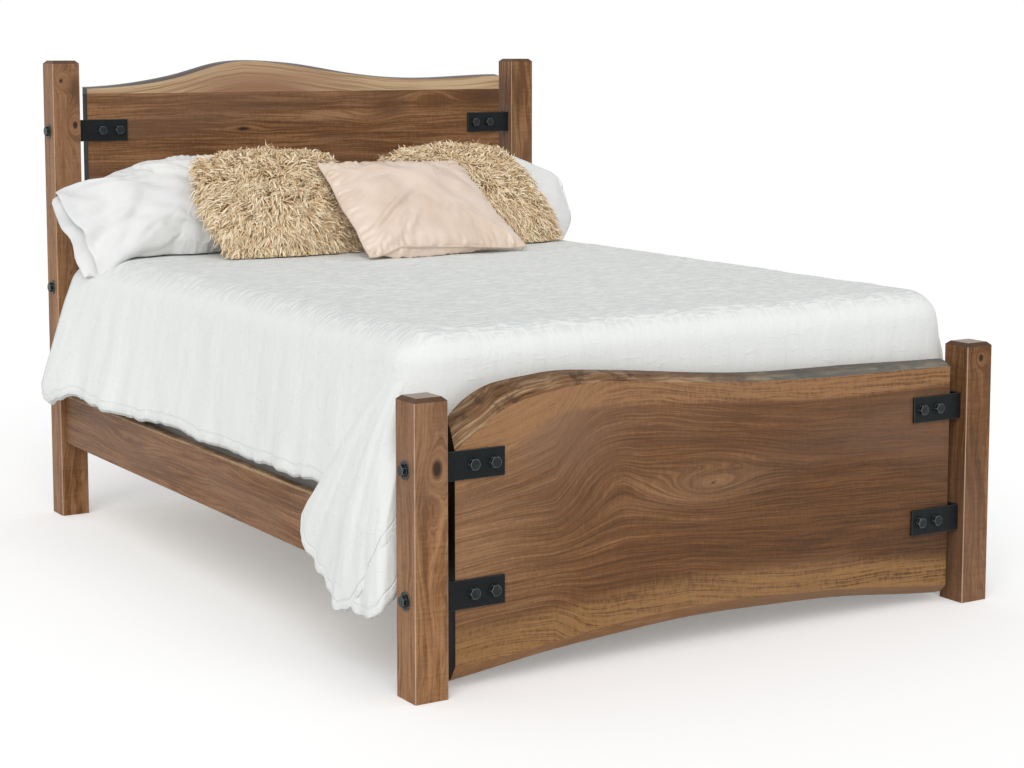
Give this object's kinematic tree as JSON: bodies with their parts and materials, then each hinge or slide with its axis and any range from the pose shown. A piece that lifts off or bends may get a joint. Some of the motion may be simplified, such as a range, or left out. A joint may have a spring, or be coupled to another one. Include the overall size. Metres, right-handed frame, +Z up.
{
  "type": "live-edge slab bed",
  "caption": "Rustic wooden bed: square posts, live-edge headboard and footboard slabs bolted to the posts with black iron straps, dressed with mattress, white coverlet and loose cushions.",
  "frame": {"origin": "on the floor under the middle of the bed", "axes": "+X to the right seen from the foot, +Y towards the head, +Z up"},
  "size_m": [1.849, 2.2352, 1.354],
  "materials": {
    "walnut": "oiled walnut, satin",
    "sapwood_walnut": "live-edge walnut with pale sapwood, satin",
    "poplar": "planed secondary wood",
    "black_iron": "flat black powder coat",
    "black_bolts": "blackened steel",
    "zinc_hardware": "zinc plated steel",
    "leveller_plastic": "moulded nylon",
    "foundation_ticking": "woven ticking",
    "mattress_ticking": "quilted knit ticking",
    "white_coverlet": "crinkled matelasse cotton",
    "white_pillowcase": "plain cotton percale",
    "tan_shag": "long ribbon shag",
    "blush_satin": "satin weave with piping"
  },
  "bodies": {
    "bedstead": {"centre_leg_foot": "poplar", "centre_leg_head": "poplar", "centre_leg_middle": "poplar", "centre_support_beam": "poplar", "fastener_plate_screws": "zinc_hardware", "foot_post_left": "walnut", "foot_post_right": "walnut", "footboard_slab": "walnut", "head_post_left": "walnut", "head_post_right": "walnut", "headboard_bottom_board": "walnut", "headboard_live_edge_board": "sapwood_walnut", "headboard_lower_board": "walnut", "headboard_middle_board": "walnut", "headboard_upper_board": "walnut", "ledger_screws": "zinc_hardware", "levelling_feet": "leveller_plastic", "post_bolts": "black_bolts", "post_catch_plates": "zinc_hardware", "post_nuts": "black_bolts", "post_washers": "black_bolts", "rail_hook_plates": "zinc_hardware", "rail_ledger_left": "poplar", "rail_ledger_right": "poplar", "side_rail_left": "walnut", "side_rail_right": "walnut", "slab_bolts": "black_bolts", "slab_nuts": "black_bolts", "slab_washers": "black_bolts", "slat_1": "poplar", "slat_10": "poplar", "slat_2": "poplar", "slat_3": "poplar", "slat_4": "poplar", "slat_5": "poplar", "slat_6": "poplar", "slat_7": "poplar", "slat_8": "poplar", "slat_9": "poplar", "slat_screws": "zinc_hardware", "strap_foot_left_lower": "black_iron", "strap_foot_left_upper": "black_iron", "strap_foot_right_lower": "black_iron", "strap_foot_right_upper": "black_iron", "strap_head_left_lower": "black_iron", "strap_head_left_upper": "black_iron", "strap_head_right_lower": "black_iron", "strap_head_right_upper": "black_iron"},
    "foundation": {"foundation": "foundation_ticking"},
    "bedding": {"mattress": "mattress_ticking", "coverlet": "white_coverlet"},
    "white_pillow_left": {"pillow_white_left": "white_pillowcase"},
    "white_pillow_right": {"pillow_white_right": "white_pillowcase"},
    "shaggy_cushion_left": {"cushion_shaggy_left": "tan_shag"},
    "shaggy_cushion_right": {"cushion_shaggy_right": "tan_shag"},
    "satin_cushion": {"cushion_satin": "blush_satin"}
  },
  "joints": [
    {"name": "foundation_lift", "type": "slide", "parent": "bedstead", "child": "foundation", "axis": [0, 0, 1], "range_m": [0, 0.45]},
    {"name": "bedding_lift", "type": "slide", "parent": "foundation", "child": "bedding", "axis": [0, 0, 1], "range_m": [0, 0.56]},
    {"name": "satin_cushion_lift", "type": "slide", "parent": "bedding", "child": "satin_cushion", "axis": [0, 0, 1], "range_m": [0, 0.4]},
    {"name": "shaggy_cushion_left_slide", "type": "slide", "parent": "bedding", "child": "shaggy_cushion_left", "axis": [-1, 0, 0], "range_m": [0, 0.95]},
    {"name": "shaggy_cushion_right_slide", "type": "slide", "parent": "bedding", "child": "shaggy_cushion_right", "axis": [1, 0, 0], "range_m": [0, 0.8]},
    {"name": "white_pillow_left_slide", "type": "slide", "parent": "bedding", "child": "white_pillow_left", "axis": [-1, 0, 0], "range_m": [0, 0.9]},
    {"name": "white_pillow_right_slide", "type": "slide", "parent": "bedding", "child": "white_pillow_right", "axis": [1, 0, 0], "range_m": [0, 0.9]}
  ]
}
